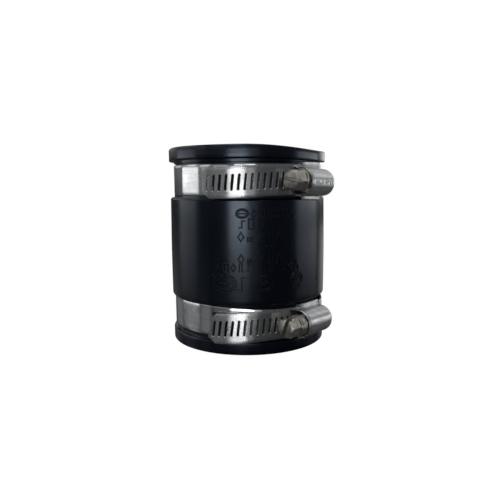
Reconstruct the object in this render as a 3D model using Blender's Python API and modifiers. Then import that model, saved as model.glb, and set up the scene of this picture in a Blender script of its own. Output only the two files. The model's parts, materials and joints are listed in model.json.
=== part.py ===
"""Flexible pipe coupling: a moulded rubber sleeve with two stainless worm-drive clamps.

The sleeve stands on its end with its bore along Z. The origin is the centre of the assembly's base.
Each clamp is drawn in its own frame, which sits on the sleeve's axis at the height of the clamp's
housing. In that frame the housing is on the -Y side, X runs along the screw from its head to its tip,
and an angle is measured about Z from -Y, growing towards +X.
"""

import math

import bmesh
import bpy
from mathutils import Matrix, Vector

MM = 0.001

# The sleeve, moulded for pipe of 60.3 mm outside diameter.
SLEEVE_LENGTH = 88.9 * MM
BORE_RADIUS = 30.15 * MM
SEAT_RADIUS = 34.0 * MM
LOWER_LIP_RADIUS = 35.6 * MM
UPPER_LIP_RADIUS = 36.4 * MM
LIP_HEIGHT = 5.6 * MM
LOWER_SEAT_WIDTH = 15.7 * MM
UPPER_SEAT_WIDTH = 16.4 * MM
BODY_TOP_RADIUS = 36.05 * MM
BODY_MIDDLE_RADIUS = 36.2 * MM
BODY_BOTTOM_RADIUS = 35.85 * MM
SLEEVE_STEPS = 72

# How finely a rounded corner is drawn.
SMALL_ARC_STEPS = 2
WIDE_ARC_STEPS = 7
WIDE_ARC_RADIUS = 2 * MM

# The sleeve's axis, seen from the centre of the whole assembly's base.
AXIS_X = -0.55 * MM
AXIS_Y = 3.95 * MM

# The clamp band: one strip that laps over itself and runs through the housing.
BAND_WIDTH = 12.7 * MM
BAND_THICKNESS = 0.6 * MM
SLOT_PITCH = math.radians(4.2)
SLOT_LENGTH = 6.8 * MM
SLOT_WIDTH = 1.0 * MM
SLOT_PHASE = math.radians(-1.8)
SLOTS_BEHIND_HOUSING = 11
LOOP_INNER_RADIUS = 34.3 * MM
UNDER_END_INNER_RADIUS = 35.0 * MM
TAIL_INNER_RADIUS = 35.85 * MM
UNDER_END_ANGLE = math.radians(9)
UNDER_END_RISE = 0.05 * MM
TAIL_RISE = -0.1 * MM

# The worm screw, tangent to the tail, and the thread that sits in the tail's slots.
SCREW_RADIUS_FROM_AXIS = 39.8 * MM
THREAD_RADIUS = 3.9 * MM
ROOT_RADIUS = 3.0 * MM
THREAD_TIP_WIDTH = 0.4 * MM
THREAD_ROOT_WIDTH = 0.8 * MM
THREAD_STEPS = 16
THREAD_START = -6.6 * MM
THREAD_END = 6.4 * MM
SCREW_STEPS = 24
HEAD_LENGTH = 5.8 * MM
HEAD_CHAMFER = 0.6 * MM
COLLAR_START = -9.2 * MM
COLLAR_RADIUS = 4.15 * MM
PIN_RADIUS = 2.2 * MM
SCREW_TIP = 7.8 * MM
HEX_RADIUS = 7.94 * MM / math.sqrt(3)
DRIVER_SLOT_WIDTH = 1.6 * MM
DRIVER_SLOT_DEPTH = 2.2 * MM

# The housing, pressed from sheet: a hump over the screw and a foot folded round each band edge.
SHEET = 0.5 * MM
HUMP_HALF_LENGTH = 8.85 * MM
FOOT_START = -5.1 * MM
FOOT_END = 7.75 * MM
FOOT_HALF_WIDTH = 7.15 * MM
FOOT_SHOULDER_RADIUS = 35.6 * MM
FOOT_FOLD_END = 5.3 * MM
FOOT_RADIUS = 34.25 * MM
FLANGE_RADIUS = 37.2 * MM
FLANGE_HALF_WIDTH = 7.7 * MM
FLANGE_DEPTH = 1.1 * MM
HUMP_HALF_WIDTH = 5.75 * MM
HUMP_TOP_RADIUS = 44.4 * MM
HUMP_EDGE_RADIUS = 36.8 * MM
HUMP_FREE_RADIUS = 39.2 * MM
RIM_BEAD = 0.25 * MM
BACK_TAPER = 1.3 * MM
HOUSING_STATIONS = (
    (-HUMP_HALF_LENGTH, RIM_BEAD),
    (-8.2 * MM, RIM_BEAD),
    (-7.8 * MM, 0),
    (-4.2 * MM, 0),
    (-0.6 * MM, 0),
    (3 * MM, 0),
    (6.6 * MM, 0),
    (7.9 * MM, -BACK_TAPER / 3),
    (HUMP_HALF_LENGTH, -BACK_TAPER),
)

# The saddle, a plate between the feet under the band's inner end.
SADDLE_HALF_WIDTH = 4.95 * MM
SADDLE_HALF_ANGLE = math.radians(7.6)
SADDLE_THICKNESS = 0.45 * MM

# How each clamp lies: its height and turn, the lie of its band, and how far its tail reaches.
CLAMPS = {
    "upper": {
        "height": 74.3 * MM,
        "turn": math.radians(46.9),
        "tail_slots": 18,
        "loop_rise": 0.1 * MM,
        "tail_drop": 1.1 * MM,
        "tip_lift": 0.6 * MM,
        "tip_corners": (-1,),
        "head_end": -17.2 * MM,
        "head_turn": math.radians(97.5),
    },
    "lower": {
        "height": 13.05 * MM,
        "turn": math.radians(45.7),
        "tail_slots": 17,
        "loop_rise": 1.35 * MM,
        "tail_drop": 1.35 * MM,
        "tip_lift": 0.3 * MM,
        "tip_corners": (-1, 1),
        "head_end": -19.2 * MM,
        "head_turn": math.radians(19),
    },
}

MESH_RADIUS = TAIL_INNER_RADIUS + BAND_THICKNESS / 2
THREAD_PITCH = MESH_RADIUS * SLOT_PITCH
THREAD_LEAD_ANGLE = math.atan(THREAD_PITCH / (math.tau * THREAD_RADIUS))
TURN = math.tau


def clear_scene():
    for obj in list(bpy.data.objects):
        bpy.data.objects.remove(obj, do_unlink=True)


def new_collection(name, hidden=False):
    collection = bpy.data.collections.new(name)
    bpy.context.scene.collection.children.link(collection)
    collection.hide_render = hidden
    return collection


def material(name, colour, roughness, metallic):
    made = bpy.data.materials.new(name)
    made.use_nodes = True
    shader = made.node_tree.nodes["Principled BSDF"]
    shader.inputs["Base Color"].default_value = (*colour, 1)
    shader.inputs["Roughness"].default_value = roughness
    shader.inputs["Metallic"].default_value = metallic
    return made


def new_object(name, mesh, collection, finish=None):
    obj = bpy.data.objects.new(name, mesh)
    collection.objects.link(obj)
    if collection.hide_render:
        obj.display_type = "WIRE"
    if finish:
        mesh.materials.append(finish)
    return obj


def mesh_from(bm, name):
    bmesh.ops.recalc_face_normals(bm, faces=bm.faces)
    mesh = bpy.data.meshes.new(name)
    bm.to_mesh(mesh)
    bm.free()
    return mesh


def filleted(corners):
    """An outline through corners (a, b, radius), with each corner of some radius made an arc."""
    outline = []
    for index, (a, b, radius) in enumerate(corners):
        here = Vector((a, b))
        steps = WIDE_ARC_STEPS if radius > WIDE_ARC_RADIUS else SMALL_ARC_STEPS
        if radius == 0:
            outline.append(here)
            continue
        back = (Vector(corners[index - 1][:2]) - here).normalized()
        on = (Vector(corners[(index + 1) % len(corners)][:2]) - here).normalized()
        half = back.angle(on) / 2
        centre = here + (back + on).normalized() * radius / math.sin(half)
        first = here + back * radius / math.tan(half) - centre
        last = here + on * radius / math.tan(half) - centre
        sweep = first.angle_signed(last)
        for step in range(steps + 1):
            outline.append(centre + Matrix.Rotation(-sweep * step / steps, 2) @ first)
    return outline


def turned(name, outline, steps, collection, closed=True):
    """A solid turned about Z from an outline of (radius, height), open where it ends on the axis."""
    bm = bmesh.new()
    points = [bm.verts.new((radius, 0, height)) for radius, height in outline]
    ends = points[1:] + points[:1] if closed else points[1:]
    for first, second in zip(points, ends):
        bm.edges.new((first, second))
    mesh = bpy.data.meshes.new(name)
    bm.to_mesh(mesh)
    bm.free()
    obj = new_object(name, mesh, collection)
    screw = obj.modifiers.new("Turn", "SCREW")
    screw.steps = screw.render_steps = steps
    screw.use_merge_vertices = True
    screw.merge_threshold = 0.0001 * MM
    screw.use_normal_calculate = True
    screw.use_smooth_shade = False
    return obj


def frozen(obj):
    """The object's mesh with its modifiers worked into it, shaded; the object itself is removed."""
    graph = bpy.context.evaluated_depsgraph_get()
    mesh = bpy.data.meshes.new_from_object(obj.evaluated_get(graph))
    bpy.data.objects.remove(obj, do_unlink=True)
    mesh.shade_smooth()
    mesh.set_sharp_from_angle(angle=math.radians(35))
    return mesh


def boolean(obj, other, operation):
    cut = obj.modifiers.new(operation.title(), "BOOLEAN")
    cut.operation = operation
    cut.object = other
    cut.solver = "EXACT"


def eased(keys, value):
    """The value read from keys (place, amount), with a smooth change from each key to the next."""
    if value >= keys[0][0]:
        return keys[0][1]
    for (start, low), (end, high) in zip(keys, keys[1:]):
        if value >= end:
            share = (value - start) / (end - start)
            return low + (high - low) * (1 - math.cos(math.pi * share)) / 2
    return keys[-1][1]


def build_sleeve(collection, finish):
    body_bottom = LIP_HEIGHT + LOWER_SEAT_WIDTH
    body_top = SLEEVE_LENGTH - LIP_HEIGHT - UPPER_SEAT_WIDTH
    edge, soft = 0.6 * MM, 0.9 * MM
    corners = [
        (BORE_RADIUS, SLEEVE_LENGTH, edge),
        (UPPER_LIP_RADIUS, SLEEVE_LENGTH, soft),
        (UPPER_LIP_RADIUS, SLEEVE_LENGTH - LIP_HEIGHT, edge),
        (SEAT_RADIUS, SLEEVE_LENGTH - LIP_HEIGHT, 0),
        (SEAT_RADIUS, body_top, 0),
        (BODY_TOP_RADIUS, body_top, edge),
        (BODY_MIDDLE_RADIUS, SLEEVE_LENGTH / 2, 0),
        (BODY_BOTTOM_RADIUS, body_bottom, soft),
        (SEAT_RADIUS, body_bottom, 0),
        (SEAT_RADIUS, LIP_HEIGHT, 0),
        (LOWER_LIP_RADIUS, LIP_HEIGHT, edge),
        (LOWER_LIP_RADIUS, 0, soft),
        (BORE_RADIUS, 0, edge),
    ]
    mesh = frozen(turned("sleeve", filleted(corners), SLEEVE_STEPS, collection))
    sleeve = new_object("sleeve", mesh, collection, finish)
    sleeve.location = (AXIS_X, AXIS_Y, 0)


def band_keys(lie):
    """How the strip's inner face and its height change along it, from its inner end to its tail's tip."""
    degrees = math.radians
    tip = -TURN + SLOT_PHASE - lie["tail_slots"] * SLOT_PITCH
    radius = [
        (degrees(-34), UNDER_END_INNER_RADIUS),
        (degrees(-54), LOOP_INNER_RADIUS),
        (degrees(-295), LOOP_INNER_RADIUS),
        (degrees(-335), TAIL_INNER_RADIUS),
        (-TURN - degrees(22), TAIL_INNER_RADIUS),
        (-TURN - degrees(60), TAIL_INNER_RADIUS + lie["tip_lift"]),
    ]
    height = [
        (degrees(-14), UNDER_END_RISE),
        (degrees(-85), lie["loop_rise"]),
        (degrees(-270), lie["loop_rise"]),
        (degrees(-338), TAIL_RISE),
        (-TURN - degrees(14), TAIL_RISE),
        (tip, TAIL_RISE - lie["tail_drop"]),
    ]
    return tip, radius, height


def slot_cutters(name, tip, last_angle, collection):
    """One prism with round ends for each slot, laid out on the flat strip and leaning with the thread."""
    bm = bmesh.new()
    half = SLOT_LENGTH / 2 - SLOT_WIDTH / 2
    outline = []
    for side in (1, -1):
        for step in range(4):
            angle = math.pi * step / 3
            across = side * (half + SLOT_WIDTH / 2 * math.sin(angle))
            outline.append(Vector((side * SLOT_WIDTH / 2 * math.cos(angle), across, 0)))
    lean = Matrix.Rotation(-THREAD_LEAD_ANGLE, 3, "Z")
    angle = tip
    while angle < last_angle:
        place = Vector((angle * MESH_RADIUS, 0, -BAND_THICKNESS))
        face = bm.faces.new([bm.verts.new(lean @ point + place) for point in outline])
        walls = bmesh.ops.extrude_face_region(bm, geom=[face])["geom"]
        top = [item for item in walls if isinstance(item, bmesh.types.BMVert)]
        bmesh.ops.translate(bm, verts=top, vec=(0, 0, 3 * BAND_THICKNESS))
        angle += SLOT_PITCH
    return new_object(name, mesh_from(bm, name), collection)


def corner_cutters(name, tip, sides, collection):
    """A square prism for each clipped corner of the tail's tip, turned to cut it off at a slant."""
    bm = bmesh.new()
    for side in sides:
        turn = Matrix.Rotation(side * math.radians(38), 4, "Z")
        place = Matrix.Translation((tip * MESH_RADIUS, side * BAND_WIDTH / 2, 0))
        scale = Matrix.Diagonal((12 * MM, 4.4 * MM, 6 * BAND_THICKNESS, 1))
        bmesh.ops.create_cube(bm, size=1, matrix=place @ turn @ scale)
    return new_object(name, mesh_from(bm, name), collection)


def build_band(name, lie, collection, cutters, finish):
    """The strip is cut flat, with its length in arc at the slots' radius, and then bent to its coil."""
    tip, radius_keys, height_keys = band_keys(lie)
    cell = SLOT_PITCH * MESH_RADIUS
    cells = math.ceil((UNDER_END_ANGLE - tip) / SLOT_PITCH)
    bm = bmesh.new()
    bmesh.ops.create_grid(bm, x_segments=cells, y_segments=1, size=0.5)
    for vert in bm.verts:
        column = round((vert.co.x + 0.5) * cells)
        along = tip * MESH_RADIUS + max(0, column - 0.5) * cell
        vert.co = (along, vert.co.y * BAND_WIDTH, 0)
    strip = new_object(name, mesh_from(bm, name), collection)
    sheet = strip.modifiers.new("Thickness", "SOLIDIFY")
    sheet.thickness = BAND_THICKNESS
    sheet.offset = 1
    first_housing_slot = -TURN + SLOT_PHASE
    last_slot = first_housing_slot + (SLOTS_BEHIND_HOUSING + 0.5) * SLOT_PITCH
    slots = slot_cutters(name + "_slots", tip, last_slot, cutters)
    corners = corner_cutters(name + "_corners", tip, lie["tip_corners"], cutters)
    boolean(strip, slots, "DIFFERENCE")
    boolean(strip, corners, "DIFFERENCE")
    mesh = frozen(strip)
    for vert in mesh.vertices:
        along, across, out = vert.co
        angle = along / MESH_RADIUS
        radius = eased(radius_keys, angle) + out
        height = eased(height_keys, angle) + across
        vert.co = (radius * math.sin(angle), -radius * math.cos(angle), height)
    for cutter in (slots, corners):
        bpy.data.objects.remove(cutter, do_unlink=True)
    mesh.materials.clear()
    return new_object(name, mesh, collection, finish)


def housing_outline(growth):
    """Half of the hump's outside and of one foot's, mirrored, as (height, distance from the axis)."""
    half, top = HUMP_HALF_WIDTH + growth, HUMP_TOP_RADIUS + growth
    corners = [
        (FOOT_FOLD_END, FOOT_RADIUS, 0),
        (FOOT_HALF_WIDTH, FOOT_RADIUS, 0.7 * MM),
        (FOOT_HALF_WIDTH, FOOT_SHOULDER_RADIUS, 0),
        (FLANGE_HALF_WIDTH, FLANGE_RADIUS - FLANGE_DEPTH, 0),
        (FLANGE_HALF_WIDTH, FLANGE_RADIUS, 0.6 * MM),
        (half, FLANGE_RADIUS, 0.35 * MM),
        (half, top, 0.97 * half),
        (0, top, 0),
    ]
    side = filleted(corners)
    return [Vector((-z, radius)) for z, radius in side[:-1]] + side[::-1]


def boxes(name, bounds, collection):
    """One mesh of separate boxes, each from its low and high corner."""
    bm = bmesh.new()
    for low, high in bounds:
        low, high = Vector(low), Vector(high)
        scale = Matrix.Diagonal((*(high - low), 1))
        place = Matrix.Translation((low + high) / 2)
        bmesh.ops.create_cube(bm, size=1, matrix=place @ scale)
    return new_object(name, mesh_from(bm, name), collection)


def foot_trims(name, collection):
    """Cutters that end the feet and flanges short of the hump, first under it and then beside it."""
    far = 20 * MM
    beside = HUMP_HALF_WIDTH + RIM_BEAD + 0.05 * MM
    spans = ((-far, FOOT_START), (FOOT_END, far))
    under = [((a, -HUMP_EDGE_RADIUS, -far), (b, 0, far)) for a, b in spans]
    sides = [
        ((a, -HUMP_FREE_RADIUS, low), (b, -HUMP_EDGE_RADIUS + 1 * MM, high))
        for a, b in spans
        for low, high in ((-far, -beside), (beside, far))
    ]
    return boxes(name + "_under", under, collection), boxes(name + "_sides", sides, collection)


def build_housing(name, collection, cutters, finish):
    """The hump is straight; the feet and flanges are bent to the band they hold."""
    bm = bmesh.new()
    rows = []
    for along, growth in HOUSING_STATIONS:
        row = []
        for height, radius in housing_outline(growth):
            bent = (HUMP_FREE_RADIUS - radius) / (HUMP_FREE_RADIUS - FLANGE_RADIUS)
            sag = radius - math.sqrt(radius**2 - along**2)
            radius -= sag * min(max(bent, 0), 1)
            row.append(bm.verts.new((along, -radius, height)))
        rows.append(row)
    for row, following in zip(rows, rows[1:]):
        for i in range(len(row) - 1):
            bm.faces.new((row[i], following[i], following[i + 1], row[i + 1]))
    mesh = bpy.data.meshes.new(name)
    bm.to_mesh(mesh)
    bm.free()
    housing = new_object(name, mesh, collection, finish)
    sheet = housing.modifiers.new("Sheet", "SOLIDIFY")
    sheet.thickness = SHEET
    sheet.offset = -1
    sheet.use_even_offset = True
    trims = foot_trims(name, cutters)
    for trim in trims:
        boolean(housing, trim, "DIFFERENCE")
    mesh = frozen(housing)
    for trim in trims:
        bpy.data.objects.remove(trim, do_unlink=True)
    return new_object(name, mesh, collection)


def build_saddle(name, collection, finish):
    bm = bmesh.new()
    bmesh.ops.create_grid(bm, x_segments=6, y_segments=1, size=1)
    for vert in bm.verts:
        angle = vert.co.x * SADDLE_HALF_ANGLE
        height = vert.co.y * SADDLE_HALF_WIDTH
        vert.co = (FOOT_RADIUS * math.sin(angle), -FOOT_RADIUS * math.cos(angle), height)
    mesh = bpy.data.meshes.new(name)
    bm.to_mesh(mesh)
    bm.free()
    saddle = new_object(name, mesh, collection, finish)
    outward = mesh.polygons[0].normal.y < 0
    plate = saddle.modifiers.new("Thickness", "SOLIDIFY")
    plate.thickness = SADDLE_THICKNESS
    plate.offset = 1 if outward else -1
    return saddle


def thread_ridge(name, collection):
    """One right-hand ridge about Z, placed so that it lies in the slots where it faces the band."""
    meets_slot = MESH_RADIUS * math.sin(SLOT_PHASE)
    rise = THREAD_PITCH / THREAD_STEPS
    first = math.ceil((THREAD_START - meets_slot) / rise)
    last = math.floor((THREAD_END - meets_slot) / rise)
    foot = ROOT_RADIUS - 0.3 * MM
    bm = bmesh.new()
    rings = []
    for step in range(first, last + 1):
        angle = math.tau * step / THREAD_STEPS
        fade = min(step - first, last - step, THREAD_STEPS / 4) / (THREAD_STEPS / 4)
        crest = ROOT_RADIUS + 0.1 * MM + (THREAD_RADIUS - ROOT_RADIUS - 0.1 * MM) * fade
        ring = []
        for radius, side in ((foot, -1), (crest, -1), (crest, 1), (foot, 1)):
            width = THREAD_TIP_WIDTH if radius == crest else THREAD_ROOT_WIDTH
            along = meets_slot + step * rise + side * width / 2
            place = (-radius * math.sin(angle), radius * math.cos(angle), along)
            ring.append(bm.verts.new(place))
        rings.append(ring)
    for ring, following in zip(rings, rings[1:]):
        for i in range(4):
            j = (i + 1) % 4
            bm.faces.new((ring[i], ring[j], following[j], following[i]))
    bm.faces.new(rings[0])
    bm.faces.new(rings[-1])
    return new_object(name, mesh_from(bm, name), collection)


def build_screw(name, lie, collection, cutters, finish):
    """The screw is made upright with its tip on top, and then laid along X."""
    head_end = lie["head_end"]
    head_start = head_end + HEAD_LENGTH
    shaft_outline = [
        (0, SCREW_TIP),
        (PIN_RADIUS, SCREW_TIP),
        (PIN_RADIUS, SCREW_TIP - 0.6 * MM),
        (ROOT_RADIUS, SCREW_TIP - 1.0 * MM),
        (ROOT_RADIUS, COLLAR_START),
        (COLLAR_RADIUS, COLLAR_START),
        (COLLAR_RADIUS, head_start - 0.6 * MM),
        (0, head_start - 0.6 * MM),
    ]
    head_outline = [
        (0, head_start),
        (HEX_RADIUS, head_start),
        (HEX_RADIUS, head_end + HEAD_CHAMFER),
        (HEX_RADIUS - HEAD_CHAMFER, head_end),
        (0, head_end),
    ]
    screw = turned(name, shaft_outline, SCREW_STEPS, cutters, closed=False)
    head = turned(name + "_head", head_outline, 6, cutters, closed=False)
    ridge = thread_ridge(name + "_ridge", cutters)
    bm = bmesh.new()
    scale = (4 * HEX_RADIUS, DRIVER_SLOT_WIDTH, 2 * DRIVER_SLOT_DEPTH, 1)
    place = Matrix.Translation((0, 0, head_end))
    bmesh.ops.create_cube(bm, size=1, matrix=place @ Matrix.Diagonal(scale))
    slot = new_object(name + "_slot", mesh_from(bm, name + "_slot"), cutters)
    head.rotation_euler.z = slot.rotation_euler.z = lie["head_turn"]
    boolean(screw, ridge, "UNION")
    boolean(screw, head, "UNION")
    boolean(screw, slot, "DIFFERENCE")
    mesh = frozen(screw)
    for helper in (head, ridge, slot):
        bpy.data.objects.remove(helper, do_unlink=True)
    mesh.transform(Matrix.Rotation(math.radians(90), 4, "Y"))
    made = new_object(name, mesh, collection, finish)
    made.location.y = -SCREW_RADIUS_FROM_AXIS
    return made


def main():
    clear_scene()
    parts = new_collection("flexible_pipe_coupling")
    cutters = new_collection("cutters", hidden=True)
    rubber = material("moulded_rubber", (0.018, 0.021, 0.028), 0.45, 0)
    steel = material("stainless_steel", (0.62, 0.62, 0.63), 0.28, 1)
    plated = material("plated_screw_steel", (0.45, 0.44, 0.38), 0.4, 1)

    build_sleeve(parts, rubber)
    for side, lie in CLAMPS.items():
        clamp = bpy.data.objects.new(side + "_clamp", None)
        clamp.location = (AXIS_X, AXIS_Y, lie["height"])
        clamp.rotation_euler.z = lie["turn"]
        parts.objects.link(clamp)
        for piece in (
            build_band(side + "_band", lie, parts, cutters, steel),
            build_housing(side + "_housing", parts, cutters, steel),
            build_saddle(side + "_saddle", parts, steel),
            build_screw(side + "_screw", lie, parts, cutters, plated),
        ):
            piece.parent = clamp


main()
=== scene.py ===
"""The looks of the flexible pipe coupling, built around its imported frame.

The sleeve, the bands, the housings and the screws are made again in finer mesh, each in the place of its
plain solid. A clamp's pieces are made in the clamp's own frame: the housing on the -Y side, X along the
screw from head to tip, heights from the clamp's middle, and angles about Z from -Y towards +X.
"""

import json
import math

import bmesh
import bpy
from mathutils import Matrix, Vector, noise


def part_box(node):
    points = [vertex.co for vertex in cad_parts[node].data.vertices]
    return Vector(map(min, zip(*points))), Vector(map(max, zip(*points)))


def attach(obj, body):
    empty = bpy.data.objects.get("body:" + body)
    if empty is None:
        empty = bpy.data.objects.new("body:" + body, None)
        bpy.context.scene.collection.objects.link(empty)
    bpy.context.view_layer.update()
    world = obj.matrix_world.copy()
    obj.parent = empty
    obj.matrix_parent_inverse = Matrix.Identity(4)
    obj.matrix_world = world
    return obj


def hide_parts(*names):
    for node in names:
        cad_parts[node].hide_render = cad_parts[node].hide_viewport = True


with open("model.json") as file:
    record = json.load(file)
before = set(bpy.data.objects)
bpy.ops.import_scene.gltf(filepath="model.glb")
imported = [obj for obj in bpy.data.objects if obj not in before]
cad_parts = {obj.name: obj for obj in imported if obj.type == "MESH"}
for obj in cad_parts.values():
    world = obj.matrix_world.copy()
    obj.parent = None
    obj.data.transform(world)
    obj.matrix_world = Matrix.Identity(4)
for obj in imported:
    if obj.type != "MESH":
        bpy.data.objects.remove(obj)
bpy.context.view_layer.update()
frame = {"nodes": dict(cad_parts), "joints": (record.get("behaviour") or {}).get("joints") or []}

MM = 0.001
TURN = math.tau
SHARP_ANGLE = math.radians(32)
JOINTS = {joint["name"]: joint for joint in frame["joints"]}

# The sleeve.
BORE_RADIUS = 30.15
SEAT_RADIUS = 34.0
LOWER_LIP_RADIUS = 35.8
UPPER_LIP_RADIUS = 36.4
LIP_HEIGHT = 5.6
BODY_BOTTOM = 21.3
BODY_TOP = 66.5
BODY_BOTTOM_RADIUS = 36.1
BODY_MIDDLE_RADIUS = 36.2
BODY_TOP_RADIUS = 35.95
SLEEVE_STEPS = 256
SLEEVE_RUN = 1.6
RIPPLE_HEIGHT = 0.05
RIPPLE_TURNS = 2.2
RIPPLE_LENGTH = 16

# The upper lip's sags, and the angles in degrees over which each comes in or fades.
LIP_FOOT = 83.3
LIP_SAG_START = 81.9
LIP_SAG = 2.25
LIP_SAG_SPAN = (-2, 66)
LIP_UNDERSIDE_SAG = 1.25
LIP_UNDERSIDE_SPAN = (5, 75)
LIP_BACK_FADE = (85, 180)
LIP_FAR_SAG = 0.7
LIP_FAR_SPAN = (55, 95)
LIP_FAR_FADE = (110, 180)

# The upper clamp's seat, with the groove that the tight band presses in it.
UPPER_SEAT_RADIUS = 34.2
UPPER_GROOVE_RADIUS = 33.5
UPPER_GROOVE = (68.0, 81.55)

# The strip, cut flat as cells one slot pitch long and then bent to its coil.
BAND_WIDTH = 12.95
BAND_THICKNESS = 0.6
SLOT_PITCH = math.radians(4.2)
SLOT_PHASE = math.radians(-1.8)
SLOT_LENGTH = 6.8
SLOT_WIDTH = 1.0
SLOTS_BEHIND_HOUSING = 11
MESH_RADIUS = 36.15
CELL = SLOT_PITCH * MESH_RADIUS
THREAD_RADIUS = 3.9
THREAD_LEAN = math.atan(CELL / (TURN * THREAD_RADIUS))
UNDER_END_ANGLE = math.radians(9)
HIDDEN_ANGLE = math.radians(-72)
EDGE_ROUND = 0.16
EDGE_CORNER = 0.05
SLOT_CHAMFER = 0.12
SLOT_FOOT = 0.06
UNDER_END_INNER_RADIUS = 35.0
TAIL_INNER_RADIUS = 35.85
UNDER_END_RISE = 0.05
TAIL_RISE = -0.1
LOOP_END = -316
HIDDEN_FRAME_SHARE = 0.9
FLARE_SPAN = (math.radians(28), math.radians(48))
TIP_CORNER_ANGLE = math.radians(38)

# Each clamp: the lie of its strip, how far its tail reaches, and how its screw stands.
CLAMPS = {
    "upper": {
        "tail_slots": 18,
        "loop_rise": 0.1,
        "loop_radius": 33.62,
        "tail_drop": 1.1,
        "drop_from": 18,
        "flare": 0,
        "tip_lift": 0.6,
        "tip_corners": (-1,),
        "head_end": -17.2,
        "head_turn": math.radians(97.5),
        "sag": (1.2, 0.04),
    },
    "lower": {
        "tail_slots": 17,
        "loop_rise": 1.35,
        "loop_radius": 34.3,
        "tail_drop": 1.35,
        "drop_from": 26,
        "flare": 0.9,
        "tip_lift": 0.3,
        "tip_corners": (-1, 1),
        "head_end": -19.2,
        "head_turn": math.radians(19),
        "sag": (0, 0),
    },
}


def smooth(low, high, value):
    """0 below low, 1 above high, and a smooth change between."""
    share = min(max((value - low) / (high - low), 0), 1)
    return share * share * (3 - 2 * share)


def eased(keys, value):
    """The value read from keys (place, amount), with a smooth change from each key to the next."""
    if value >= keys[0][0]:
        return keys[0][1]
    for (start, low), (end, high) in zip(keys, keys[1:]):
        if value >= end:
            share = (value - start) / (end - start)
            return low + (high - low) * (1 - math.cos(math.pi * share)) / 2
    return keys[-1][1]


def filleted(corners, fine=5, wide=16):
    """An outline through corners (a, b, radius), with each corner of some radius made an arc."""
    outline = []
    for index, (a, b, radius) in enumerate(corners):
        here = Vector((a, b))
        if radius == 0:
            outline.append(here)
            continue
        back = (Vector(corners[index - 1][:2]) - here).normalized()
        on = (Vector(corners[(index + 1) % len(corners)][:2]) - here).normalized()
        half = back.angle(on) / 2
        centre = here + (back + on).normalized() * radius / math.sin(half)
        first = here + back * radius / math.tan(half) - centre
        last = here + on * radius / math.tan(half) - centre
        sweep = first.angle_signed(last)
        steps = wide if radius > 2 else fine
        for step in range(steps + 1):
            outline.append(centre + Matrix.Rotation(-sweep * step / steps, 2) @ first)
    return outline


def divided(outline, longest):
    """The closed outline with its long straight runs split, so that it can bend."""
    points = []
    for here, after in zip(outline, outline[1:] + outline[:1]):
        count = max(1, math.ceil((after - here).length / longest))
        points += [here.lerp(after, step / count) for step in range(count)]
    return points


def mesh_of(bm, name):
    """The bmesh, drawn in millimetres, as a mesh in metres."""
    bmesh.ops.recalc_face_normals(bm, faces=bm.faces)
    bmesh.ops.scale(bm, vec=(MM, MM, MM), verts=bm.verts)
    mesh = bpy.data.meshes.new(name)
    bm.to_mesh(mesh)
    bm.free()
    return mesh


def add_object(name, mesh, *finishes):
    obj = bpy.data.objects.new(name, mesh)
    bpy.context.scene.collection.objects.link(obj)
    for finish in finishes:
        mesh.materials.append(finish)
    return obj


def worked_in(obj):
    """The object with its modifiers worked into its mesh."""
    graph = bpy.context.evaluated_depsgraph_get()
    mesh = bpy.data.meshes.new_from_object(obj.evaluated_get(graph))
    obj.modifiers.clear()
    obj.data = mesh
    return obj


def cut(obj, cutter):
    """Cuts the cutter out of the object and removes it."""
    trim = obj.modifiers.new("Cut", "BOOLEAN")
    trim.operation = "DIFFERENCE"
    trim.solver = "EXACT"
    trim.object = cutter
    worked_in(obj)
    bpy.data.objects.remove(cutter, do_unlink=True)


def finish_piece(obj, body, slot, *nodes):
    """The piece rides on its body and stands for its plain solids; the slot is not used."""
    obj.data.shade_smooth()
    obj.data.set_sharp_from_angle(angle=SHARP_ANGLE)
    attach(obj, body)
    if nodes:
        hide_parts(*nodes)


def stitched(bm, rows, closed_rows=False, closed_rings=True):
    """Quads between rows of vertices, each row itself closed if closed_rings."""
    pairs = list(zip(rows, rows[1:] + rows[:1])) if closed_rows else list(zip(rows, rows[1:]))
    for row, following in pairs:
        count = len(row) if closed_rings else len(row) - 1
        for i in range(count):
            j = (i + 1) % len(row)
            bm.faces.new((row[i], following[i], following[j], row[j]))


def sagged(height, angle):
    """The height with the upper lip's sag, most of it by the clamp's housing and a little at the far side."""
    degrees = math.degrees(angle)
    back = 1 - smooth(*LIP_BACK_FADE, degrees)
    far = LIP_FAR_SAG * smooth(*LIP_FAR_SPAN, -degrees) * (1 - smooth(*LIP_FAR_FADE, -degrees))
    top = LIP_SAG * smooth(*LIP_SAG_SPAN, degrees) * back + far
    underside = LIP_UNDERSIDE_SAG * smooth(*LIP_UNDERSIDE_SPAN, degrees) * back + far
    share = min(max((height - LIP_FOOT) / LIP_HEIGHT, 0), 1)
    sag = underside + (top - underside) * share
    return height - sag * smooth(LIP_SAG_START, LIP_FOOT, height)


def body_radius(height):
    """The radius of the sleeve's body, a little fuller at its middle."""
    middle = (BODY_BOTTOM + BODY_TOP) / 2
    share = (height - middle) / (BODY_TOP - middle)
    end = BODY_TOP_RADIUS if share > 0 else BODY_BOTTOM_RADIUS
    return BODY_MIDDLE_RADIUS + (end - BODY_MIDDLE_RADIUS) * min(abs(share), 1) ** 1.6


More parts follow.
